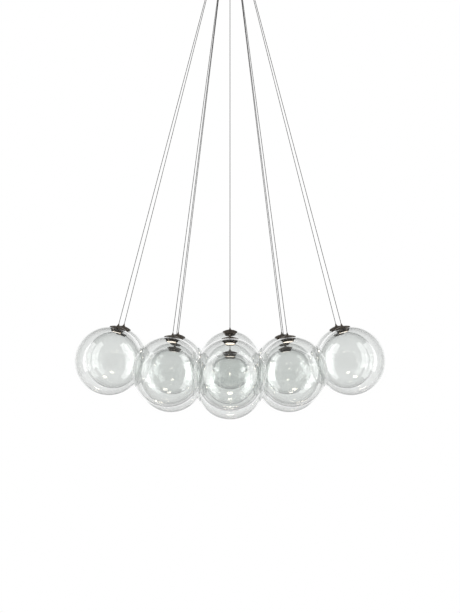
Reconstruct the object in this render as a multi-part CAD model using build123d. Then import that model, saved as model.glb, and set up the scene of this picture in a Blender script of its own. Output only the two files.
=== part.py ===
"""Cluster pendant: fourteen clear glass globes, each hung on its own thin cable from one round canopy.

Millimetres, +Z up, +Y away from the front. The origin is the centre of the ceiling face.
The globes stand in a honeycomb of five columns (2, 3, 4, 3, 2) and their cables fan in to a
honeycomb of the same order, but of a finer pitch, in the floor of the canopy.
"""

from build123d import *
from math import acos, atan2, cos, degrees, radians, sin, sqrt, tan
import os

# ---- globes ----
globe_diameter = 140.0
glass_wall = 2.5
globe_gap = 2.1            # level distance left between two neighbouring globes
cable_drop = 844.0         # from the cables' pivots down to the centre of the lowest globes
side_rise = 49.0           # how much higher than those the other globes hang
shoulder_rise = 29.5
flank_rise = 9.7
front_rise = 27.3
rear_rise = 39.8

# ---- cable and the swing that it allows ----
cable_diameter = 1.2
hole_pitch = 23.0          # of the cable outlets in the canopy
swing_limit = 12.0         # degrees outwards, for the ten globes round the edge
bend_gap = 0.3             # between a cable's bending point and the ends of its two stretches

# ---- cap that closes a globe and holds its light ----
cap_diameter = 33.0
cap_edge = 1.2             # height of the sharp rim
cap_rise = 3.9             # of the shallow dome above the rim
spire_base_diameter = 8.0
spire_tip_diameter = 2.6
spire_height = 5.4
seat_gap = 0.15            # between the cap and the glass
plug_diameter = 21.8       # at the plug's lower end
plug_height = 7.6          # lower end of the plug to the edge of the rim
plug_slope = 28.0          # degrees between the plug's side and its axis
bond_thickness = 0.4       # pads of clear silicone between the plug and the ground hole in the glass
bond_gap = 0.05
bond_pad_count = 3
bond_pad_angle = 40.0
chamber_diameter = 6.0
chamber_height = 6.0
stop_diameter = 5.2        # crimped stop that carries the cap on the cable
stop_height = 3.8

# ---- light in the plug ----
lens_diameter = 18.2
lens_edge = 2.0
lens_crown = 1.2
board_thickness = 1.6
lens_inset = 0.6           # edge of the lens above the plug's lower end

# ---- canopy ----
canopy_diameter = 150.0
canopy_height = 50.0
canopy_wall = 2.0
canopy_floor = 2.5
canopy_round = 4.0
ceiling_gap = 0.5

# ---- mounting plate ----
plate_thickness = 2.5
plate_flange_height = 14.5
plate_flange_wall = 2.5
ceiling_screw_circle = 116.0
ceiling_screw_hole = 5.5
ceiling_screw_count = 4
supply_hole_diameter = 20.0
supply_hole_y = 34.0

# ---- cable grips in the canopy floor ----
grip_shank_diameter = 10.0
grip_flange_height = 2.0
grip_flange_wall = 2.4     # left round the trumpet's mouth
grip_height_above_floor = 10.0
trumpet_height = 6.0
throat_diameter = 1.6
nut_across_flats = 13.0
nut_height = 4.0

# ---- distribution board, on spacers ----
supply_board_diameter = 104.0
supply_board_thickness = 1.6
supply_board_height = 19.0   # its lower face above the canopy's lower face
socket_width = 8.0
socket_depth = 6.0
socket_height = 4.0
spacer_across_flats = 7.0
spacer_x = 22.0
spacer_y = 38.0
spigot_diameter = 4.9

# ---- driver and supply terminal ----
driver_length = 100.0
driver_width = 40.0
driver_height = 22.0
driver_round = 3.0
driver_tab = 8.0
driver_tab_width = 18.0
driver_tab_thickness = 2.0
terminal_length = 30.0
terminal_width = 18.0
terminal_height = 14.0
terminal_y = -34.0
terminal_floor = 3.0
wire_hole_diameter = 4.0

# ---- screws, all M4 x 8 pan heads ----
screw_diameter = 4.0
screw_length = 8.0
screw_head_diameter = 7.0
screw_head_height = 2.4
canopy_screw_count = 3
canopy_screw_drop = 8.5
canopy_screw_start = 30.0   # degrees round from the right, of the first canopy screw

# ---- fits ----
thread_gap = 0.05
free_gap = 0.1
slip_gap = 0.3

# ---- derived sizes ----
globe_radius = globe_diameter / 2
inner_radius = globe_radius - glass_wall
globe_pitch = globe_diameter + globe_gap
column_step = sqrt(3) / 2
cable_radius = cable_diameter / 2
bore_radius = cable_radius + thread_gap
cap_radius = cap_diameter / 2
plug_radius = plug_diameter / 2
plug_taper = tan(radians(plug_slope))
lens_radius = lens_diameter / 2
stop_radius = stop_diameter / 2
screw_radius = screw_diameter / 2
canopy_radius = canopy_diameter / 2
canopy_inner = canopy_radius - canopy_wall
flange_outer = canopy_inner - slip_gap
shank_radius = grip_shank_diameter / 2
floor_bottom = -canopy_height
floor_top = floor_bottom + canopy_floor
pivot_z = floor_bottom - grip_flange_height + trumpet_height
lowest_centre_z = pivot_z - cable_drop
supply_board_z = floor_bottom + supply_board_height
spacer_bottom = supply_board_z + supply_board_thickness
rise = {
    (0, 0.5): 0.0,
    (1, 0): flank_rise,
    (1, 1): shoulder_rise,
    (2, 0.5): side_rise,
}


class Pendant:
    """One globe's name, the place of its centre and of its cable outlet, and its cable's lean."""

    def __init__(self, column, row, row_count):
        outermost = (row_count - 1) / 2
        self.edge = abs(column) == 2 or abs(row) == outermost
        side = "" if column == 0 else ("left_" if column < 0 else "right_")
        near = "middle" if row == 0 else ("front" if row < 0 else "rear")
        if not self.edge and column == 0:
            near = "inner_" + near
        self.name = ("mid_" if abs(column) == 1 else "") + side + near
        if column == 0 and self.edge:
            height = front_rise if row < 0 else rear_rise
        else:
            height = rise[abs(column), abs(row)]
        grid = Vector(column * column_step, row, 0)
        self.centre = grid * globe_pitch + Vector(0, 0, lowest_centre_z + height)
        self.outlet = grid * hole_pitch + Vector(0, 0, pivot_z)
        self.up = (self.outlet - self.centre).normalized()
        self.lean = degrees(acos(self.up.Z))

    def place(self, piece):
        """Moves a piece made round the globe's centre, with its cable straight up, to its place."""
        return Plane(origin=self.centre, x_dir=(0, 1, 0), z_dir=self.up).location * piece


def make_pendants():
    pendants = []
    for column in range(-2, 3):
        count = 4 - abs(column)
        for index in range(count):
            pendants.append(Pendant(column, index - (count - 1) / 2, count))
    return pendants


pendants = make_pendants()
steepest = max(pendant.lean for pendant in pendants) + swing_limit
mouth_radius = throat_diameter / 2 + trumpet_height * tan(radians(steepest + 1))
grip_flange_radius = max(mouth_radius, shank_radius) + grip_flange_wall


# ---- heights along a pendant's own axis, from the centre of its globe ----
def sphere_height(sphere_radius, radius):
    """Height of a sphere's surface above its centre, at a distance from its axis."""
    return sqrt(sphere_radius**2 - radius**2)


rim_z = sphere_height(globe_radius + seat_gap, cap_radius)
plug_z = rim_z - plug_height
board_z = plug_z + lens_inset + lens_edge
recess_z = board_z + board_thickness
chamber_z = recess_z + chamber_height
dome_z = rim_z + cap_edge + cap_rise
tip_z = dome_z + spire_height


def cone_point(gap, sphere_radius):
    """Where the plug's cone, widened by a gap, cuts a sphere about the globe's centre."""
    base = plug_radius + gap - plug_taper * plug_z
    steep = 1 + plug_taper**2
    half = base * plug_taper
    height = (sqrt(half**2 - steep * (base**2 - sphere_radius**2)) - half) / steep
    return (base + plug_taper * height, height)


def turned(*edges):
    """A solid turned about Z from the edges of its half section, in radius and height."""
    return revolve(Plane.XZ * make_face(list(edges)), Axis.Z)


def turned_outline(*points):
    return turned(*Polyline(*points, close=True).edges())


def sphere_arc(sphere_radius, start, end, centre_z=0.0):
    """Section of a sphere on the Z axis, between two of its points in radius and height."""
    first = degrees(atan2(start[1] - centre_z, start[0]))
    last = degrees(atan2(end[1] - centre_z, end[0]))
    return CenterArc((0, centre_z), sphere_radius, first, last - first)


def bar(radius, low, high):
    """An upright round bar on the Z axis between two heights."""
    return Pos(0, 0, low) * Cylinder(radius, high - low, align=(Align.CENTER, Align.CENTER, Align.MIN))


def hex_bar(across_flats, low, high):
    outline = RegularPolygon(across_flats / 2, 6, major_radius=False)
    return Pos(0, 0, low) * extrude(outline, high - low)


# ---- pieces of one pendant ----
def make_globe():
    """Blown glass, one even wall, with a hole ground to the plug's cone."""
    hole_gap = bond_thickness + 2 * bond_gap
    outer = cone_point(hole_gap, globe_radius)
    inner = cone_point(hole_gap, inner_radius)
    return turned(
        sphere_arc(globe_radius, (0, -globe_radius), outer),
        Line(outer, inner),
        sphere_arc(inner_radius, inner, (0, -inner_radius)),
        Line((0, -inner_radius), (0, -globe_radius)),
    )


def make_cap():
    """Turned cap: a domed hat with a spire for the cable, and below it the tapered plug."""
    spire_base = (spire_base_diameter / 2, dome_z)
    spire_tip = (spire_tip_diameter / 2, tip_z)
    rim_top = (cap_radius, rim_z + cap_edge)
    dome_middle = ((cap_radius + spire_base[0]) / 2, rim_top[1] + 0.68 * cap_rise)
    waist = (0.35 * spire_base[0] + 0.65 * spire_tip[0], dome_z + 0.35 * spire_height)
    seat = cone_point(0, globe_radius + seat_gap)
    recess = lens_radius + free_gap
    chamber = chamber_diameter / 2
    return turned(
        Line(spire_tip, (bore_radius, tip_z)),
        Line((bore_radius, tip_z), (bore_radius, chamber_z)),
        Line((bore_radius, chamber_z), (chamber, chamber_z)),
        Line((chamber, chamber_z), (chamber, recess_z)),
        Line((chamber, recess_z), (recess, recess_z)),
        Line((recess, recess_z), (recess, plug_z)),
        Line((recess, plug_z), (plug_radius, plug_z)),
        Line((plug_radius, plug_z), seat),
        sphere_arc(globe_radius + seat_gap, seat, (cap_radius, rim_z)),
        Line((cap_radius, rim_z), rim_top),
        ThreePointArc(rim_top, dome_middle, spire_base),
        ThreePointArc(spire_base, waist, spire_tip),
    )


def make_bond_pads():
    """Pads of clear silicone that centre the plug in the hole in the glass and bond it there."""
    top = globe_radius
    corners = [
        cone_point(bond_gap, top),
        cone_point(bond_gap, inner_radius),
        cone_point(bond_gap + bond_thickness, inner_radius),
        cone_point(bond_gap + bond_thickness, top),
    ]
    section = Plane.XZ * make_face(Polyline(*corners, close=True).edges())
    pad = revolve(section, Axis.Z, bond_pad_angle)
    return [Rot(0, 0, angle) * pad for angle in round_positions(bond_pad_count, 0)]


def make_stop():
    """Crimped stop on the cable's end: the cap hangs on it."""
    return bar(stop_radius, chamber_z - free_gap - stop_height, chamber_z - free_gap) - bar(
        bore_radius, recess_z, chamber_z
    )


def make_light():
    """Round light board and the domed opal lens that snaps in below it."""
    board = bar(lens_radius, board_z, recess_z)
    edge_z = board_z - lens_edge
    crown_z = edge_z - lens_crown
    crown_sphere = (lens_radius**2 + lens_crown**2) / (2 * lens_crown)
    lens = turned(
        Line((0, board_z), (lens_radius, board_z)),
        Line((lens_radius, board_z), (lens_radius, edge_z)),
        sphere_arc(crown_sphere, (lens_radius, edge_z), (0, crown_z), crown_z + crown_sphere),
        Line((0, crown_z), (0, board_z)),
    )
    return [board, lens]


def make_cable(pendant):
    """The taut stretch, from the light board to the bending point in the grip."""
    low = recess_z + free_gap
    high = (pendant.outlet - pendant.centre).length - bend_gap
    return pendant.place(bar(cable_radius, low, high))


# ---- pieces of the canopy ----
def screw(head_face, direction):
    """Pan-head screw whose head sits on a face, with its shank along the direction."""
    shank = bar(screw_radius, 0, screw_length)
    head = bar(screw_head_diameter / 2, -screw_head_height, 0)
    head = fillet(head.edges().sort_by(Axis.Z)[0], 1.2)
    drive = Pos(0, 0, -screw_head_height) * Box(
        0.7 * screw_head_diameter, 1.0, 2.0, align=(Align.CENTER, Align.CENTER, Align.CENTER)
    )
    return Plane(origin=head_face, z_dir=direction).location * (head + shank - drive)


def round_positions(count, first):
    return [first + 360 * index / count for index in range(count)]


def polar(radius, angle, height):
    return Vector(radius * cos(radians(angle)), radius * sin(radians(angle)), height)


def canopy_screw_angles():
    return round_positions(canopy_screw_count, canopy_screw_start)


def ceiling_screw_points():
    return [
        polar(ceiling_screw_circle / 2, angle, 0)
        for angle in round_positions(ceiling_screw_count, 180 / ceiling_screw_count)
    ]


spacer_points = [Vector(x, y, 0) for x in (-spacer_x, spacer_x) for y in (-spacer_y, spacer_y)]
driver_screw_x = (driver_length + driver_tab) / 2


def make_mounting_plate():
    """Steel disc that screws to the ceiling, with a turned-down flange that the canopy fixes to."""
    disc = bar(flange_outer, -plate_thickness, 0)
    flange = bar(flange_outer, -plate_flange_height, 0) - bar(
        flange_outer - plate_flange_wall, -plate_flange_height, 0
    )
    plate = disc + flange
    for point in ceiling_screw_points():
        plate -= Pos(point) * bar(ceiling_screw_hole / 2, -plate_thickness, 0)
    plate -= Pos(0, supply_hole_y) * bar(supply_hole_diameter / 2, -plate_thickness, 0)
    for point in spacer_points:
        plate -= Pos(point) * bar(spigot_diameter / 2 + thread_gap, -plate_thickness, 0)
    thread = bar(screw_radius + thread_gap, -plate_thickness, 0)
    for x in (-driver_screw_x, driver_screw_x):
        plate -= Pos(x, 0) * thread
    plate -= Pos(0, terminal_y) * thread
    for angle in canopy_screw_angles():
        plate -= radial_hole(angle, screw_radius + thread_gap)
    return plate


def radial_hole(angle, radius):
    """Bar for a screw hole through the canopy's wall or the plate's flange."""
    start = polar(flange_outer - 2 * plate_flange_wall, angle, -canopy_screw_drop)
    outward = polar(1, angle, 0)
    return Plane(origin=start, z_dir=outward).location * bar(radius, 0, canopy_radius - start.length / 2)


def make_canopy():
    """Spun steel cup that covers the works and carries the cable grips in its floor."""
    top = -ceiling_gap
    cup = bar(canopy_radius, floor_bottom, top)
    cup = fillet(cup.edges().sort_by(Axis.Z)[0], canopy_round)
    hollow = bar(canopy_inner, floor_top, top)
    hollow = fillet(hollow.edges().sort_by(Axis.Z)[0], canopy_round - canopy_wall)
    cup -= hollow
    for pendant in pendants:
        hole = bar(shank_radius + free_gap, floor_bottom, floor_top)
        cup -= Pos(pendant.outlet.X, pendant.outlet.Y) * hole
    for angle in canopy_screw_angles():
        cup -= radial_hole(angle, screw_radius + 2 * free_gap)
    return cup


def make_grip():
    """Turned cable grip: flange, threaded shank, and a trumpet mouth that lets the cable lean."""
    bottom = floor_bottom - grip_flange_height
    top = floor_top + grip_height_above_floor
    return turned_outline(
        (bore_radius, top),
        (shank_radius, top),
        (shank_radius, floor_bottom),
        (grip_flange_radius, floor_bottom),
        (grip_flange_radius, bottom),
        (mouth_radius, bottom),
        (throat_diameter / 2, pivot_z),
        (bore_radius, pivot_z),
    )


def make_nut():
    bore = bar(shank_radius + thread_gap, floor_top, floor_top + nut_height)
    return hex_bar(nut_across_flats, floor_top, floor_top + nut_height) - bore


def make_tail():
    """The stretch of cable above its bending point, up to its socket on the board."""
    return bar(cable_radius, pivot_z + bend_gap, supply_board_z - socket_height)


def make_supply_board():
    """Round board that shares the driver's output among the cables, one socket each."""
    board = bar(supply_board_diameter / 2, supply_board_z, spacer_bottom)
    socket = Box(socket_width, socket_depth, socket_height, align=(Align.CENTER, Align.CENTER, Align.MAX))
    for pendant in pendants:
        board += Pos(pendant.outlet.X, pendant.outlet.Y, supply_board_z) * socket
    for point in spacer_points:
        board -= Pos(point) * bar(screw_radius + free_gap, supply_board_z, spacer_bottom)
    return board


def make_spacer():
    """Hexagonal spacer, tapped below, with a spigot that is pressed into the plate above."""
    body = hex_bar(spacer_across_flats, spacer_bottom, -plate_thickness)
    body += bar(spigot_diameter / 2, -plate_thickness, -plate_thickness / 4)
    return body - bar(screw_radius + thread_gap, spacer_bottom, spacer_bottom + screw_length)


def make_driver():
    """Plastic-cased driver with a fixing tab at each end."""
    top = -plate_thickness
    low_align = (Align.CENTER, Align.CENTER, Align.MAX)
    case = Pos(0, 0, top) * Box(driver_length, driver_width, driver_height, align=low_align)
    case = fillet(case.edges().filter_by(Axis.Z), driver_round)
    case = chamfer(case.faces().sort_by(Axis.Z)[0].edges(), 1.0)
    full_length = driver_length + 2 * driver_tab
    tabs = Pos(0, 0, top) * Box(full_length, driver_tab_width, driver_tab_thickness, align=low_align)
    driver = case + tabs
    for x in (-driver_screw_x, driver_screw_x):
        driver -= Pos(x, 0) * bar(screw_radius + free_gap, top - driver_tab_thickness, top)
    return driver


def make_terminal():
    """Moulded terminal block for the supply wires, with its fixing screw sunk in the middle."""
    top = -plate_thickness
    block = Pos(0, terminal_y, top) * Box(
        terminal_length, terminal_width, terminal_height, align=(Align.CENTER, Align.CENTER, Align.MAX)
    )
    middle = Pos(0, terminal_y)
    block -= middle * bar(screw_radius + free_gap, top - terminal_height, top)
    block -= middle * bar(screw_head_diameter / 2 + free_gap, top - terminal_height, top - terminal_floor)
    mouth = Rot(90, 0, 0) * Cylinder(wire_hole_diameter / 2, terminal_width / 4)
    for x in (-terminal_length / 3, terminal_length / 3):
        for y in (terminal_y - terminal_width / 2, terminal_y + terminal_width / 2):
            block -= Pos(x, y, top - terminal_height / 2) * mouth
    return block


def make_screws():
    """All M4 screws: canopy to plate, driver, terminal, and board to spacers."""
    screws = []
    for angle in canopy_screw_angles():
        inward = polar(-1, angle, 0)
        screws.append(screw(polar(canopy_radius, angle, -canopy_screw_drop), inward))
    up = (0, 0, 1)
    for x in (-driver_screw_x, driver_screw_x):
        screws.append(screw((x, 0, -plate_thickness - driver_tab_thickness), up))
    screws.append(screw((0, terminal_y, -plate_thickness - terminal_floor), up))
    for point in spacer_points:
        screws.append(screw((point.X, point.Y, supply_board_z), up))
    return screws


def at_outlets(piece):
    """A copy of a piece of the canopy at each cable outlet."""
    return [Pos(pendant.outlet.X, pendant.outlet.Y) * piece for pendant in pendants]


def build():
    """Every node of the pendant, as a list of solids under its name."""
    globe = make_globe()
    cap_set = [make_cap(), *make_bond_pads(), make_stop()]
    light = make_light()
    nodes = {}
    inner_caps = []
    inner_lights = []
    for pendant in pendants:
        nodes["globe_" + pendant.name] = [pendant.place(globe)]
        nodes["cable_" + pendant.name] = [make_cable(pendant)]
        caps = [pendant.place(piece) for piece in cap_set]
        lights = [pendant.place(piece) for piece in light]
        if pendant.edge:
            nodes["cap_" + pendant.name] = caps
            nodes["light_" + pendant.name] = lights
        else:
            inner_caps += caps
            inner_lights += lights
    nodes["inner_caps"] = inner_caps
    nodes["inner_lights"] = inner_lights
    nodes["mounting_plate"] = [make_mounting_plate()]
    nodes["canopy"] = [make_canopy()]
    nodes["cable_grips"] = at_outlets(make_grip())
    nodes["grip_nuts"] = at_outlets(make_nut())
    nodes["cable_tails"] = at_outlets(make_tail())
    nodes["supply_board"] = [make_supply_board()]
    nodes["board_spacers"] = [Pos(point) * make_spacer() for point in spacer_points]
    nodes["led_driver"] = [make_driver()]
    nodes["supply_terminal"] = [make_terminal()]
    nodes["m4_screws"] = make_screws()
    return nodes


def main():
    os.makedirs("parts", exist_ok=True)
    for name, solids in build().items():
        shape = solids[0] if len(solids) == 1 else Compound(children=solids)
        export_step(shape, f"parts/{name}.step")


if __name__ == "__main__":
    main()
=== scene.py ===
import math

import bpy
from mathutils import Matrix, Vector


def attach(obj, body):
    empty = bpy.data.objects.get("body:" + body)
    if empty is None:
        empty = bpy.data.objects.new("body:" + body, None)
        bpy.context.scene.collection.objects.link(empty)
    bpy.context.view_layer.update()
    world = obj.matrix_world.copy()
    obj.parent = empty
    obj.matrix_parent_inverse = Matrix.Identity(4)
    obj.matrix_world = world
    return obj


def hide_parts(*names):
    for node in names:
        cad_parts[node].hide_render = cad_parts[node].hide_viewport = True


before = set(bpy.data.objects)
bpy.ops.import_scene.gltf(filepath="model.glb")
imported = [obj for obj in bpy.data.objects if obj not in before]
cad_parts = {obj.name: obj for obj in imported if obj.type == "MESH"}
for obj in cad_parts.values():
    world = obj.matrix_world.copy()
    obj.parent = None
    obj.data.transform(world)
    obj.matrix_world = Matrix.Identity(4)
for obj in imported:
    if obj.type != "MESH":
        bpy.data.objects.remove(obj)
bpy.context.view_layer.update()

bpy.ops.object.select_all(action="DESELECT")


# ---- Mounting plate ----
# A pressed steel disc with a turned-down flange, zinc plated. Four screws hold it to the ceiling,
# and the flange takes the three screws of the canopy.
def start_finish(name, colour, roughness, metallic=0.0):
    """A new material with its shader, and the object's own coordinates in millimetres."""
    finish = bpy.data.materials.new(name)
    finish.use_nodes = True
    tree = finish.node_tree
    shader = tree.nodes["Principled BSDF"]
    shader.inputs["Base Color"].default_value = (*colour, 1)
    shader.inputs["Roughness"].default_value = roughness
    shader.inputs["Metallic"].default_value = metallic
    place = tree.nodes.new("ShaderNodeTexCoord")
    millimetres = tree.nodes.new("ShaderNodeVectorMath")
    millimetres.operation = "SCALE"
    millimetres.inputs["Scale"].default_value = 1000
    tree.links.new(place.outputs["Object"], millimetres.inputs[0])
    return finish, tree, shader, millimetres.outputs[0]


noise_low = 0.3
noise_high = 0.7


def cloud(tree, where, size, detail=4.0, dimensions="3D"):
    """Soft random patches, about size millimetres across."""
    patches = tree.nodes.new("ShaderNodeTexNoise")
    patches.noise_dimensions = dimensions
    patches.inputs["Scale"].default_value = 1 / size
    patches.inputs["Detail"].default_value = detail
    tree.links.new(where, patches.inputs["W" if dimensions == "1D" else "Vector"])
    return patches.outputs["Fac"]


def between(tree, amount, low, high):
    """A number from low to high, as the amount goes from a noise's low to its high end."""
    spread = tree.nodes.new("ShaderNodeMapRange")
    ends = (noise_low, noise_high, low, high)
    for socket, value in zip(("From Min", "From Max", "To Min", "To Max"), ends):
        spread.inputs[socket].default_value = value
    tree.links.new(amount, spread.inputs["Value"])
    return spread.outputs["Result"]


def colours(tree, amount, dark, light):
    """A colour from dark to light, as the amount goes from a noise's low to its high end."""
    ramp = tree.nodes.new("ShaderNodeValToRGB")
    first, last = ramp.color_ramp.elements
    first.position, last.position = noise_low, noise_high
    first.color, last.color = (*dark, 1), (*light, 1)
    tree.links.new(amount, ramp.inputs["Fac"])
    return ramp.outputs["Color"]


def tint(tree, shader, amount, dark, light):
    """Lets a finish's colour go from dark to light with the amount."""
    tree.links.new(colours(tree, amount, dark, light), shader.inputs["Base Color"])


def wear(tree, shader, amount, low, high):
    """Lets a finish's roughness go from low to high with the amount."""
    tree.links.new(between(tree, amount, low, high), shader.inputs["Roughness"])


def raised(tree, shader, amount, height):
    """Fine relief, height in millimetres."""
    bump = tree.nodes.new("ShaderNodeBump")
    bump.inputs["Strength"].default_value = 1
    bump.inputs["Distance"].default_value = height / 1000
    tree.links.new(amount, bump.inputs["Height"])
    tree.links.new(bump.outputs["Normal"], shader.inputs["Normal"])


def paint(piece, finish):
    """Gives a piece, or a carried-over CAD node, one finish all over."""
    piece.data.materials.clear()
    piece.data.materials.append(finish)


zinc, tree, shader, where = start_finish("zinc_plate", (0.66, 0.67, 0.68), roughness=0.38, metallic=0.45)
spangle = cloud(tree, where, size=5.0)
tint(tree, shader, spangle, (0.58, 0.59, 0.61), (0.74, 0.75, 0.75))
wear(tree, shader, spangle, low=0.28, high=0.44)
raised(tree, shader, cloud(tree, where, size=0.6), height=0.006)
paint(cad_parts["mounting_plate"], zinc)


# ---- LED driver ----
# A sealed driver in a moulded case of pale grey plastic with a spark-eroded grain, fixed to the
# plate by a screw through the tab at each end.
case_plastic, tree, shader, where = start_finish("driver_plastic", (0.72, 0.72, 0.70), roughness=0.5)
tint(tree, shader, cloud(tree, where, size=30), (0.68, 0.68, 0.66), (0.76, 0.76, 0.74))
raised(tree, shader, cloud(tree, where, size=0.35, detail=2), height=0.03)
paint(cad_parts["led_driver"], case_plastic)


# ---- Supply terminal ----
# A block of natural nylon with brass inserts for the two supply wires. One screw in its middle
# holds it to the plate.
nylon, tree, shader, where = start_finish("terminal_nylon", (0.82, 0.80, 0.72), roughness=0.42)
shader.inputs["Subsurface Weight"].default_value = 0.15
shader.inputs["Subsurface Radius"].default_value = (0.002, 0.0017, 0.0012)
tint(tree, shader, cloud(tree, where, size=9), (0.78, 0.76, 0.67), (0.85, 0.83, 0.76))
raised(tree, shader, cloud(tree, where, size=0.5, detail=2), height=0.015)
paint(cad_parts["supply_terminal"], nylon)


# ---- Supply board and its spacers ----
# A round glass-fibre board with a socket for each cable. Its lacquer is green and shows the weave
# of the glass cloth. Four hexagonal brass spacers hold it below the plate.
laminate, tree, shader, where = start_finish("board_laminate", (0.03, 0.16, 0.07), roughness=0.32)
weave = tree.nodes.new("ShaderNodeTexChecker")
weave.inputs["Scale"].default_value = 2.2
weave.inputs["Color1"].default_value = (0.028, 0.15, 0.065, 1)
weave.inputs["Color2"].default_value = (0.036, 0.18, 0.08, 1)
tree.links.new(where, weave.inputs["Vector"])
tree.links.new(weave.outputs["Color"], shader.inputs["Base Color"])
raised(tree, shader, weave.outputs["Fac"], height=0.01)
paint(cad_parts["supply_board"], laminate)

brass, tree, shader, where = start_finish("turned_brass", (0.68, 0.50, 0.23), roughness=0.3, metallic=1.0)
stain = cloud(tree, where, size=4.0)
tint(tree, shader, stain, (0.56, 0.39, 0.17), (0.74, 0.56, 0.28))
wear(tree, shader, stain, low=0.42, high=0.24)
raised(tree, shader, cloud(tree, where, size=0.3, detail=2), height=0.008)
paint(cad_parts["board_spacers"], brass)


# ---- Canopy ----
# A cup spun from steel sheet and lacquered in the same dark bronze as the caps. The spinning tool
# leaves fine rings, and the lacquer is a little worn and mottled.
def rings_round_axis(tree, where):
    """The distance to the upright axis plus the height, so that a pattern on it makes rings round the axis.
    """
    apart = tree.nodes.new("ShaderNodeSeparateXYZ")
    tree.links.new(where, apart.inputs[0])
    flat = tree.nodes.new("ShaderNodeCombineXYZ")
    tree.links.new(apart.outputs["X"], flat.inputs["X"])
    tree.links.new(apart.outputs["Y"], flat.inputs["Y"])
    reach = tree.nodes.new("ShaderNodeVectorMath")
    reach.operation = "LENGTH"
    tree.links.new(flat.outputs[0], reach.inputs[0])
    along = tree.nodes.new("ShaderNodeMath")
    tree.links.new(reach.outputs["Value"], along.inputs[0])
    tree.links.new(apart.outputs["Z"], along.inputs[1])
    return along.outputs[0]


lacquer, tree, shader, where = start_finish(
    "bronze_lacquer", (0.05, 0.038, 0.028), roughness=0.4, metallic=0.85,
)
mottle = cloud(tree, where, size=14.0)
tint(tree, shader, mottle, (0.040, 0.030, 0.022), (0.066, 0.050, 0.036))
wear(tree, shader, mottle, low=0.34, high=0.48)
rings = cloud(tree, rings_round_axis(tree, where), size=0.5, detail=2, dimensions="1D")
raised(tree, shader, rings, height=0.02)
paint(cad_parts["canopy"], lacquer)


# ---- Screws ----
# Ten M4 pan-head screws of zinc-plated steel: three in the canopy, two in the driver, one in the
# terminal and four in the spacers.
screw_zinc, tree, shader, where = start_finish(
    "screw_zinc", (0.60, 0.60, 0.60), roughness=0.3, metallic=1.0,
)
wear(tree, shader, cloud(tree, where, size=1.5), low=0.22, high=0.4)
raised(tree, shader, cloud(tree, where, size=0.2, detail=2), height=0.005)
paint(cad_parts["m4_screws"], screw_zinc)


# ---- Cable grips and their nuts ----
# Turned brass grips in the canopy's floor, one for each cable, bronzed to match it. The trumpet
# mouth lets the cable lean without a kink, and a brass nut holds each grip from inside.
grip_bronze, tree, shader, where = start_finish(
    "grip_bronze", (0.05, 0.038, 0.028), roughness=0.33, metallic=0.9,
)
wear(tree, shader, cloud(tree, where, size=3.0), low=0.27, high=0.42)
raised(tree, shader, cloud(tree, where, size=0.25, detail=2), height=0.006)
paint(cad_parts["cable_grips"], grip_bronze)
paint(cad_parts["grip_nuts"], brass)


# ---- Cables ----
# Thin round flex with a dark grey braided sheath, pulled straight by the weight of the glass. Each
# runs from the throat of its grip down to the light board in its cap.
# The globes hang in a honeycomb of five columns, and the outlets in a finer one of the same order.
# Those sizes are in millimetres. A pendant's places are in metres, with the body that it rides on.
globe_pitch = 142.1
outlet_pitch = 23.0
column_step = math.sqrt(3) / 2
lowest_centre = -890.0
outlet_height = -46.0
rise_above_lowest = {(2, 0.5): 49.0, (1, 1): 29.5, (1, 0): 9.7, (0, 0.5): 0.0}
front_rise = 27.3
rear_rise = 39.8
pendants = {}
for column in range(-2, 3):
    row_count = 4 - abs(column)
    outermost = (row_count - 1) / 2
    for row in [index - outermost for index in range(row_count)]:
        swings = abs(column) == 2 or abs(row) == outermost
        near = "front" if row < 0 else "rear" if row > 0 else "middle"
        side = "left_" if column < 0 else "right_" if column > 0 else "" if swings else "inner_"
        name = ("mid_" if abs(column) == 1 else "") + side + near
        if column == 0 and swings:
            rise = front_rise if row < 0 else rear_rise
        else:
            rise = rise_above_lowest[abs(column), abs(row)]
        place = Vector((column * column_step, row, 0))
        centre = (place * globe_pitch + Vector((0, 0, lowest_centre + rise))) / 1000
        outlet = (place * outlet_pitch + Vector((0, 0, outlet_height))) / 1000
        pendants[name] = (centre, outlet, "pendant_" + name if swings else "ceiling_unit")
# Each cable starts just below its bending point, clear of the grip's throat when it swings.
cable_diameter = 0.0012
cable_low = 0.06488
cable_top_gap = 0.00045
tail_top = -0.035
cable_stretches = 3

braid, tree, shader, where = start_finish("cable_braid", (0.02, 0.019, 0.018), roughness=0.8)
shader.inputs["Specular IOR Level"].default_value = 0.2
strands = tree.nodes.new("ShaderNodeTexVoronoi")
strands.inputs["Scale"].default_value = 3.0
tree.links.new(where, strands.inputs["Vector"])
tint(tree, shader, strands.outputs["Distance"], (0.012, 0.011, 0.011), (0.030, 0.028, 0.027))
raised(tree, shader, strands.outputs["Distance"], height=0.06)


def draw_cable(name, top, bottom):
    """One straight stretch of flex, a round curve between two points."""
    line = bpy.data.curves.new(name, "CURVE")
    line.dimensions = "3D"
    line.bevel_depth = cable_diameter / 2
    line.bevel_resolution = 4
    line.use_fill_caps = True
    spline = line.splines.new("NURBS")
    spline.points.add(cable_stretches)
    for index, point in enumerate(spline.points):
        point.co = (*top.lerp(bottom, index / cable_stretches), 1)
    spline.order_u = 3
    spline.use_endpoint_u = True
    flex = bpy.data.objects.new(name, line)
    bpy.context.collection.objects.link(flex)
    paint(flex, braid)
    return flex


for name, (centre, outlet, body) in pendants.items():
    up = (outlet - centre).normalized()
    top = outlet - up * cable_top_gap
    bottom = centre + up * cable_low
    cable = draw_cable("flex_" + name, top, bottom)
    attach(cable, body)
    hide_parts("cable_" + name)
    tail_end = outlet + Vector((0, 0, cable_top_gap))
    tail = draw_cable("tail_" + name, Vector((outlet.x, outlet.y, tail_top)), tail_end)
    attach(tail, "ceiling_unit")
    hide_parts("cable_tails")


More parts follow.
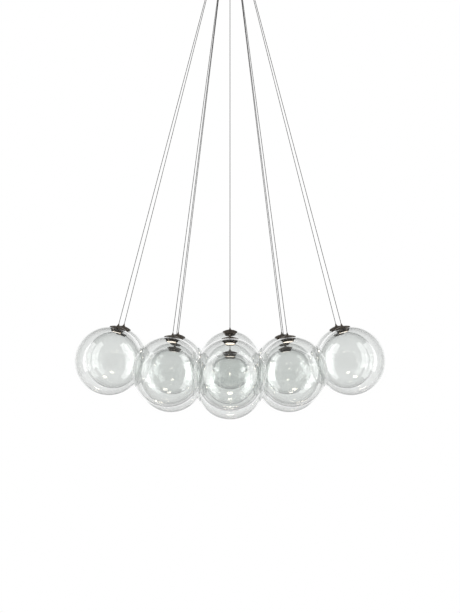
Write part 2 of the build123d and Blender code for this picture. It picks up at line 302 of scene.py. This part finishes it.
# ---- Caps ----
# Turned from solid metal and bronzed nearly black: a shallow domed hat with a crisp rim that sits
# on the glass, a slim spire round the cable, and a tapered plug that goes into the ground hole.
# A section is drawn as points of radius and height above the globe's centre, in millimetres.
axis_radius = 0.0001
merge_distance = 0.000002
turned_crease = math.radians(28)


def curve_through(start, middle, end, steps):
    """Points along the arc from start to end that passes through middle, in radius and height."""
    (ax, ay), (bx, by), (cx, cy) = start, middle, end
    d = 2 * (ax * (by - cy) + bx * (cy - ay) + cx * (ay - by))
    ux = ((ax**2 + ay**2) * (by - cy) + (bx**2 + by**2) * (cy - ay) + (cx**2 + cy**2) * (ay - by)) / d
    uy = ((ax**2 + ay**2) * (cx - bx) + (bx**2 + by**2) * (ax - cx) + (cx**2 + cy**2) * (bx - ax)) / d
    first, last = math.atan2(ay - uy, ax - ux), math.atan2(cy - uy, cx - ux)
    turn = (last - first + math.pi) % (2 * math.pi) - math.pi
    size = math.hypot(ax - ux, ay - uy)
    angles = [first + turn * index / steps for index in range(steps + 1)]
    return [(ux + size * math.cos(angle), uy + size * math.sin(angle)) for angle in angles]


def turn_on_lathe(name, outline, facets=96):
    """A piece turned about the upright axis: a ring of edges, extruded and scaled along its outline."""
    bpy.ops.object.select_all(action="DESELECT")
    radius, height = outline[0]
    bpy.ops.mesh.primitive_circle_add(vertices=facets, radius=radius / 1000, location=(0, 0, height / 1000))
    piece = bpy.context.object
    piece.name = name
    bpy.ops.object.transform_apply(location=True, rotation=True, scale=True)
    bpy.ops.object.mode_set(mode="EDIT")
    bpy.ops.mesh.select_all(action="SELECT")
    for next_radius, next_height in outline[1:]:
        scale = max(next_radius, axis_radius) / radius
        lift = {"value": (0, 0, (next_height - height) / 1000)}
        bpy.ops.mesh.extrude_region_move(TRANSFORM_OT_translate=lift)
        bpy.ops.transform.resize(value=(scale, scale, 1), center_override=(0, 0, next_height / 1000))
        radius, height = max(next_radius, axis_radius), next_height
    bpy.ops.mesh.select_all(action="SELECT")
    bpy.ops.mesh.remove_doubles(threshold=merge_distance)
    bpy.ops.mesh.normals_make_consistent(inside=False)
    bpy.ops.object.mode_set(mode="OBJECT")
    bpy.ops.object.shade_smooth_by_angle(angle=turned_crease)
    section = piece.data.uv_layers.new(name="section")
    for loop in piece.data.loops:
        place = piece.data.vertices[loop.vertex_index].co * 1000
        section.data[loop.index].uv = (math.hypot(place.x, place.y), place.z)
    return piece


def rings_on_section(tree):
    """The way along a turned piece's section, so that a pattern on it makes rings round the piece."""
    section = tree.nodes.new("ShaderNodeUVMap")
    section.uv_map = "section"
    apart = tree.nodes.new("ShaderNodeSeparateXYZ")
    tree.links.new(section.outputs["UV"], apart.inputs[0])
    along = tree.nodes.new("ShaderNodeMath")
    tree.links.new(apart.outputs["X"], along.inputs[0])
    tree.links.new(apart.outputs["Y"], along.inputs[1])
    return along.outputs[0]


def hang(pattern, name, slot, *nodes):
    """A copy of a pattern piece, made round a globe's centre with its cable upright, at one pendant."""
    centre, outlet, body = pendants[name]
    piece = bpy.data.objects.new(pattern.name.replace("pattern", name), pattern.data.copy())
    lean = Vector((0, 0, 1)).rotation_difference(outlet - centre).to_matrix().to_4x4()
    piece.data.transform(Matrix.Translation(centre) @ lean)
    bpy.context.collection.objects.link(piece)
    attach(piece, body)
    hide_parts(*nodes)
    return piece


def hang_all(pattern, slot, kind):
    """The pattern piece at every pendant, in place of the CAD nodes of that kind."""
    for name, (centre, outlet, body) in pendants.items():
        hang(pattern, name, slot, "inner_" + kind + "s" if body == "ceiling_unit" else kind + "_" + name)
    bpy.data.objects.remove(pattern)


spire = curve_through((1.3, 78.5), (2.245, 75.17), (4.0, 73.28), steps=12)
dome = curve_through((4.0, 73.28), (10.25, 72.03), (16.35, 69.43), steps=16)
seat = curve_through((16.45, 68.19), (15.8, 68.347), (15.112, 68.503), steps=4)
cap_outline = (
    [(0.65, 78.68), (1.12, 78.68)] + spire + dome[1:]
    + [(16.5, 69.28), (16.5, 68.28)] + seat
    + [(10.98, 60.68), (10.8, 60.58), (9.3, 60.58), (9.2, 60.68), (9.2, 64.78), (3.0, 64.78), (3.0, 70.78)]
    + [(0.65, 70.78), (0.65, 78.68)]
)
cap_pattern = turn_on_lathe("turned_cap_pattern", cap_outline)
cap_bronze, tree, shader, where = start_finish(
    "cap_bronze", (0.10, 0.084, 0.068), roughness=0.4, metallic=0.5,
)
patina = cloud(tree, where, size=6.0)
tint(tree, shader, patina, (0.078, 0.066, 0.053), (0.125, 0.105, 0.085))
wear(tree, shader, patina, low=0.34, high=0.48)
rings = cloud(tree, rings_on_section(tree), size=0.16, detail=2, dimensions="1D")
raised(tree, shader, rings, height=0.006)
paint(cap_pattern, cap_bronze)
hang_all(cap_pattern, "cap_bronze", "cap")


# ---- Crimped stops ----
# A short brass sleeve crimped on the end of each cable inside the cap: the cap and the glass hang
# on it. The crimping tool leaves two waists.
stop_outline = [
    (0.65, 66.88), (2.35, 66.88), (2.6, 67.1), (2.6, 67.6), (2.2, 67.95), (2.2, 68.3), (2.6, 68.6),
    (2.6, 68.9), (2.2, 69.2), (2.2, 69.55), (2.6, 69.9), (2.6, 70.45), (2.35, 70.68),
    (0.65, 70.68), (0.65, 66.88),
]
stop_pattern = turn_on_lathe("stop_pattern", stop_outline, facets=48)
paint(stop_pattern, brass)
hang_all(stop_pattern, "cap_bronze", "cap")


# ---- Light boards and lenses ----
# A round white board with its light-emitting chips fills the recess of the plug, and a domed lens
# of opal acrylic snaps in below it. The lens glows warm white.
board_outline = [(0.66, 63.18), (9.1, 63.18), (9.1, 64.78), (0.66, 64.78), (0.66, 63.18)]
board_pattern = turn_on_lathe("board_pattern", board_outline, facets=64)
white_board, tree, shader, where = start_finish("board_white", (0.86, 0.86, 0.84), roughness=0.35)
tint(tree, shader, cloud(tree, where, size=1.2), (0.80, 0.80, 0.77), (0.88, 0.88, 0.86))
raised(tree, shader, cloud(tree, where, size=0.4, detail=2), height=0.01)
paint(board_pattern, white_board)
hang_all(board_pattern, "light_opal", "light")

# The lens glows softly when looked at, and far more on a mirrored path, to make the glints on the
# glass. A real lamp doesn't do that.
lens_glow = 1.1
glow_added_in_reflections = 30
crown = curve_through((8.9, 61.10), (5.0, 60.34), (0.0001, 59.98), steps=8)
lens_outline = [(0.0001, 63.17), (9.1, 63.17), (9.1, 61.3)] + crown
lens_pattern = turn_on_lathe("lens_pattern", lens_outline, facets=64)
opal, tree, shader, where = start_finish("lens_opal", (0.93, 0.90, 0.84), roughness=0.3)
shader.inputs["Coat Weight"].default_value = 0.3
shader.inputs["Coat Roughness"].default_value = 0.1
bands = cloud(tree, rings_on_section(tree), size=3.0, detail=1, dimensions="1D")
glow = colours(tree, bands, (1.0, 0.88, 0.73), (1.0, 0.94, 0.84))
tree.links.new(glow, shader.inputs["Emission Color"])
path = tree.nodes.new("ShaderNodeLightPath")
glint = tree.nodes.new("ShaderNodeMath")
glint.operation = "MULTIPLY_ADD"
glint.inputs[1].default_value = glow_added_in_reflections
glint.inputs[2].default_value = lens_glow
mirrored_once = tree.nodes.new("ShaderNodeMath")
mirrored_once.operation = "MINIMUM"
mirrored_once.inputs[1].default_value = 1
tree.links.new(path.outputs["Glossy Depth"], mirrored_once.inputs[0])
tree.links.new(mirrored_once.outputs[0], glint.inputs[0])
tree.links.new(glint.outputs[0], shader.inputs["Emission Strength"])
raised(tree, shader, cloud(tree, where, size=0.8, detail=2), height=0.01)
paint(lens_pattern, opal)
hang_all(lens_pattern, "light_opal", "light")


# ---- Bond pads ----
# Three pads of clear silicone between the plug and the ground hole. They centre the cap and bond
# it to the glass.
bond_outline = [(15.083, 68.356), (13.863, 66.061), (14.223, 65.985), (15.441, 68.276), (15.083, 68.356)]
bond_pattern = turn_on_lathe("bond_pattern", bond_outline, facets=108)
bond_pads = 3
bond_pad_angle = 40
bpy.ops.object.mode_set(mode="EDIT")
bpy.ops.mesh.select_all(action="DESELECT")
bpy.ops.object.mode_set(mode="OBJECT")
for face in bond_pattern.data.polygons:
    angle = math.degrees(math.atan2(face.center.y, face.center.x)) % (360 / bond_pads)
    face.select = angle > bond_pad_angle
bpy.ops.object.mode_set(mode="EDIT")
bpy.ops.mesh.select_mode(type="FACE")
bpy.ops.mesh.delete(type="FACE")
bpy.ops.mesh.select_all(action="SELECT")
bpy.ops.mesh.fill_holes(sides=4)
bpy.ops.mesh.select_mode(type="VERT")
bpy.ops.object.mode_set(mode="OBJECT")
silicone, tree, shader, where = start_finish("clear_silicone", (0.86, 0.87, 0.86), roughness=0.3)
shader.inputs["Transmission Weight"].default_value = 0.85
shader.inputs["IOR"].default_value = 1.41
wear(tree, shader, cloud(tree, where, size=2.0), low=0.2, high=0.45)
raised(tree, shader, cloud(tree, where, size=0.8, detail=2), height=0.02)
paint(bond_pattern, silicone)
hang_all(bond_pattern, "cap_bronze", "cap")


# ---- Globes ----
# Mouth-blown clear glass, 140 mm across with a wall of about 2.5 mm. The hole at the top is
# ground to the cone of the plug. Its ground edge is coloured near black, painted shade round the plug, so
# that it doesn't glint.
# The wall is a little uneven, as blown glass is.
globe_radius = 0.070
inner_radius = 0.0675
hole_outer_height = 0.068266
hole_inner_height = 0.065975
globe_facets = 144
globe_rings = globe_facets // 2
globe_crease = math.radians(30)
edge_slack = 0.0001

bpy.ops.object.select_all(action="DESELECT")
bpy.ops.mesh.primitive_uv_sphere_add(segments=globe_facets, ring_count=globe_rings, radius=globe_radius)
globe_pattern = bpy.context.object
globe_pattern.name = "glass_pattern"
bpy.ops.object.mode_set(mode="EDIT")
bpy.ops.mesh.select_all(action="SELECT")
bpy.ops.mesh.bisect(plane_co=(0, 0, hole_outer_height), plane_no=(0, 0, 1), clear_outer=True)
bpy.ops.mesh.select_all(action="DESELECT")
bpy.ops.mesh.primitive_uv_sphere_add(segments=globe_facets, ring_count=globe_rings, radius=inner_radius)
bpy.ops.mesh.flip_normals()
bpy.ops.mesh.bisect(plane_co=(0, 0, hole_inner_height), plane_no=(0, 0, 1), clear_outer=True)
bpy.ops.mesh.select_all(action="DESELECT")
bpy.ops.mesh.select_mode(type="EDGE")
bpy.ops.mesh.select_non_manifold()
bpy.ops.mesh.bridge_edge_loops()
bpy.ops.mesh.select_mode(type="VERT")
bpy.ops.object.mode_set(mode="OBJECT")
bpy.ops.object.shade_smooth_by_angle(angle=globe_crease)

glass, tree, shader, where = start_finish("blown_glass", (0.964, 0.972, 0.967), roughness=0.0)
shader.inputs["Transmission Weight"].default_value = 1.0
shader.inputs["IOR"].default_value = 1.47
swirl = cloud(tree, where, size=45.0, detail=1)
raised(tree, shader, swirl, height=0.01)
paint(globe_pattern, glass)

# The ground edge of the hole is coloured near black: painted shade round the plug that hides its glints.
hole_varnish, tree, shader, where = start_finish("hole_varnish", (0.035, 0.030, 0.026), roughness=0.6)
wear(tree, shader, cloud(tree, where, size=2.0), low=0.5, high=0.7)
raised(tree, shader, cloud(tree, where, size=0.3, detail=2), height=0.01)
globe_pattern.data.materials.append(hole_varnish)
for face in globe_pattern.data.polygons:
    heights = [globe_pattern.data.vertices[index].co.z for index in face.vertices]
    if min(heights) < hole_inner_height + edge_slack and max(heights) > hole_outer_height - edge_slack:
        face.material_index = 1

for name in pendants:
    hang(globe_pattern, name, "globe_glass", "globe_" + name)
bpy.data.objects.remove(globe_pattern)


# ---- Room, lamps and camera ----
# A pale floor well below the pendant and a white surround, which shows through the glass. What the
# glass and the metal mirror is a dark studio with a white backdrop behind the pendant and a tall
# soft box at each side of the camera.
floor_height = -2.4
floor_radius = 3.6
floor_tone = 0.85
floor_tone_mirrored = 0.45
floor_shadow_share = 0.35
none_or_one = 0.5
bpy.ops.object.select_all(action="DESELECT")
bpy.ops.mesh.primitive_circle_add(vertices=128, radius=floor_radius, fill_type="NGON", location=(0, 0, 0))
floor = bpy.context.object
floor.name = "floor"
floor.data.transform(Matrix.Translation((0, 0, floor_height)))
floor_paint = bpy.data.materials.new("floor_paint")
floor_paint.use_nodes = True
tree = floor_paint.node_tree
tree.nodes.clear()
matt = tree.nodes.new("ShaderNodeBsdfDiffuse")
matt.inputs["Color"].default_value = (floor_tone, floor_tone, floor_tone, 1)
plain = tree.nodes.new("ShaderNodeEmission")
seen = tree.nodes.new("ShaderNodeMixShader")
seen.inputs["Fac"].default_value = floor_shadow_share
dim = tree.nodes.new("ShaderNodeBsdfDiffuse")
dim.inputs["Color"].default_value = (floor_tone_mirrored, floor_tone_mirrored, floor_tone_mirrored, 1)
path = tree.nodes.new("ShaderNodeLightPath")
never_mirrored = tree.nodes.new("ShaderNodeMath")
never_mirrored.operation = "LESS_THAN"
never_mirrored.inputs[1].default_value = none_or_one
tree.links.new(path.outputs["Glossy Depth"], never_mirrored.inputs[0])
through_glass = tree.nodes.new("ShaderNodeMath")
through_glass.operation = "MULTIPLY"
tree.links.new(path.outputs["Is Transmission Ray"], through_glass.inputs[0])
tree.links.new(never_mirrored.outputs[0], through_glass.inputs[1])
looked_at = tree.nodes.new("ShaderNodeMath")
looked_at.operation = "MAXIMUM"
tree.links.new(path.outputs["Is Camera Ray"], looked_at.inputs[0])
tree.links.new(through_glass.outputs[0], looked_at.inputs[1])
either = tree.nodes.new("ShaderNodeMixShader")
output = tree.nodes.new("ShaderNodeOutputMaterial")
tree.links.new(plain.outputs[0], seen.inputs[1])
tree.links.new(matt.outputs[0], seen.inputs[2])
tree.links.new(looked_at.outputs[0], either.inputs["Fac"])
tree.links.new(dim.outputs[0], either.inputs[1])
tree.links.new(seen.outputs[0], either.inputs[2])
tree.links.new(either.outputs[0], output.inputs["Surface"])
paint(floor, floor_paint)

soft_box_from = math.radians(60)
soft_box_to = math.radians(93)
soft_box_rise = math.sin(math.radians(52))
soft_box_light = 3.0
soft_box_blur = 0.01
backdrop_edge = math.cos(math.radians(58))
backdrop_full = math.cos(math.radians(22))
backdrop_top_full = 0.24
backdrop_top_gone = 0.62
backdrop_bottom_gone = -0.80
backdrop_bottom_full = -0.40
dark_room = 0.04
dim_ends = 0.7
dim_from = 0.25
dim_to = 0.90
room_light = 0.75

world = bpy.data.worlds.new("studio")
bpy.context.scene.world = world
world.use_nodes = True
tree = world.node_tree
tree.nodes.clear()


def calculate(operation, *values):
    """A Math node of the world's own tree. A value is a number or another node's output."""
    step = tree.nodes.new("ShaderNodeMath")
    step.operation = operation
    for socket, value in zip(step.inputs, values):
        if isinstance(value, (int, float)):
            socket.default_value = value
        else:
            tree.links.new(value, socket)
    return step.outputs[0]


def ramp_between(value, low, high, to_low, to_high):
    """Turns a value from low to high smoothly into a value from to_low to to_high."""
    step = tree.nodes.new("ShaderNodeMapRange")
    step.interpolation_type = "SMOOTHSTEP"
    tree.links.new(value, step.inputs["Value"])
    for socket, number in zip(("From Min", "From Max", "To Min", "To Max"), (low, high, to_low, to_high)):
        step.inputs[socket].default_value = number
    return step.outputs["Result"]


direction = tree.nodes.new("ShaderNodeTexCoord")
apart = tree.nodes.new("ShaderNodeSeparateXYZ")
tree.links.new(direction.outputs["Generated"], apart.inputs[0])
sideways = calculate("ABSOLUTE", apart.outputs["X"])
forwards = calculate("MULTIPLY", apart.outputs["Y"], -1.0)
upright = calculate("ABSOLUTE", apart.outputs["Z"])
bearing = calculate("ARCTAN2", sideways, forwards)
seen_through = ramp_between(upright, dim_from, dim_to, 1.0, dim_ends)
across = ramp_between(apart.outputs["Y"], backdrop_edge, backdrop_full, 0, 1)
top_edge = ramp_between(apart.outputs["Z"], backdrop_top_full, backdrop_top_gone, 1, 0)
bottom_edge = ramp_between(apart.outputs["Z"], backdrop_bottom_gone, backdrop_bottom_full, 0, 1)
white_part = calculate("MULTIPLY", across, calculate("MULTIPLY", top_edge, bottom_edge))
backdrop = calculate("MULTIPLY_ADD", white_part, 1.0 - dark_room, dark_room)
near_edge = ramp_between(bearing, soft_box_from - soft_box_blur, soft_box_from + soft_box_blur, 0, 1)
far_edge = ramp_between(bearing, soft_box_to - soft_box_blur, soft_box_to + soft_box_blur, 1, 0)
end_edge = ramp_between(upright, soft_box_rise - soft_box_blur, soft_box_rise + soft_box_blur, 1, 0)
soft_box = calculate("MULTIPLY", calculate("MULTIPLY", near_edge, far_edge), end_edge)
studio = calculate("MULTIPLY_ADD", soft_box, soft_box_light, backdrop)
path = tree.nodes.new("ShaderNodeLightPath")
mirrored = calculate("MINIMUM", path.outputs["Glossy Depth"], 1.0)
not_mirrored = calculate("SUBTRACT", 1.0, mirrored)
in_reflections = calculate("MULTIPLY", studio, mirrored)
through_the_glass = calculate("MULTIPLY", seen_through, not_mirrored)
studio = calculate("ADD", in_reflections, through_the_glass)
clear = calculate("MAXIMUM", path.outputs["Is Glossy Ray"], path.outputs["Is Transmission Ray"])
not_clear = calculate("SUBTRACT", 1.0, clear)
level = calculate("ADD", calculate("MULTIPLY", studio, clear), calculate("MULTIPLY", not_clear, room_light))
not_camera = calculate("SUBTRACT", 1.0, path.outputs["Is Camera Ray"])
level = calculate("ADD", calculate("MULTIPLY", level, not_camera), path.outputs["Is Camera Ray"])
surround = tree.nodes.new("ShaderNodeBackground")
surround.inputs["Color"].default_value = (1, 1, 1, 1)
tree.links.new(level, surround.inputs["Strength"])
output = tree.nodes.new("ShaderNodeOutputWorld")
tree.links.new(surround.outputs[0], output.inputs["Surface"])

middle = Vector((0, 0, -0.6))
for name, place, power, size in (
    ("lamp_left", (-1.9, -1.5, -0.2), 22, 1.2),
    ("lamp_right", (1.9, -1.5, -0.2), 22, 1.2),
    ("lamp_back", (0, 2.2, 0.6), 14, 1.4),
):
    light = bpy.data.lights.new(name, "AREA")
    light.energy, light.size = power, size
    lamp = bpy.data.objects.new(name, light)
    lamp.location = place
    lamp.rotation_euler = (middle - Vector(place)).to_track_quat("-Z", "Y").to_euler()
    lamp.visible_glossy = False
    lamp.visible_transmission = False
    bpy.context.collection.objects.link(lamp)

sensor_size = 36
focal_length_in_pixels = 1251
photo_height_in_pixels = 613
camera_distance = 2.615
camera_height = -0.769
camera_shift = 0.0313
paths_through_glass = 40
mirrored_paths = 24
brightest_sample = 8.0

camera = bpy.data.objects.new("camera", bpy.data.cameras.new("camera"))
camera.data.sensor_width = sensor_size
camera.data.lens = focal_length_in_pixels / photo_height_in_pixels * sensor_size
camera.data.shift_y = camera_shift
camera.location = (0, -camera_distance, camera_height)
camera.rotation_euler = (math.radians(90), 0, 0)
bpy.context.collection.objects.link(camera)
scene = bpy.context.scene
scene.camera = camera
scene.view_settings.view_transform = "Standard"
scene.cycles.max_bounces = paths_through_glass
scene.cycles.transmission_bounces = paths_through_glass
scene.cycles.glossy_bounces = mirrored_paths
scene.cycles.sample_clamp_indirect = brightest_sample
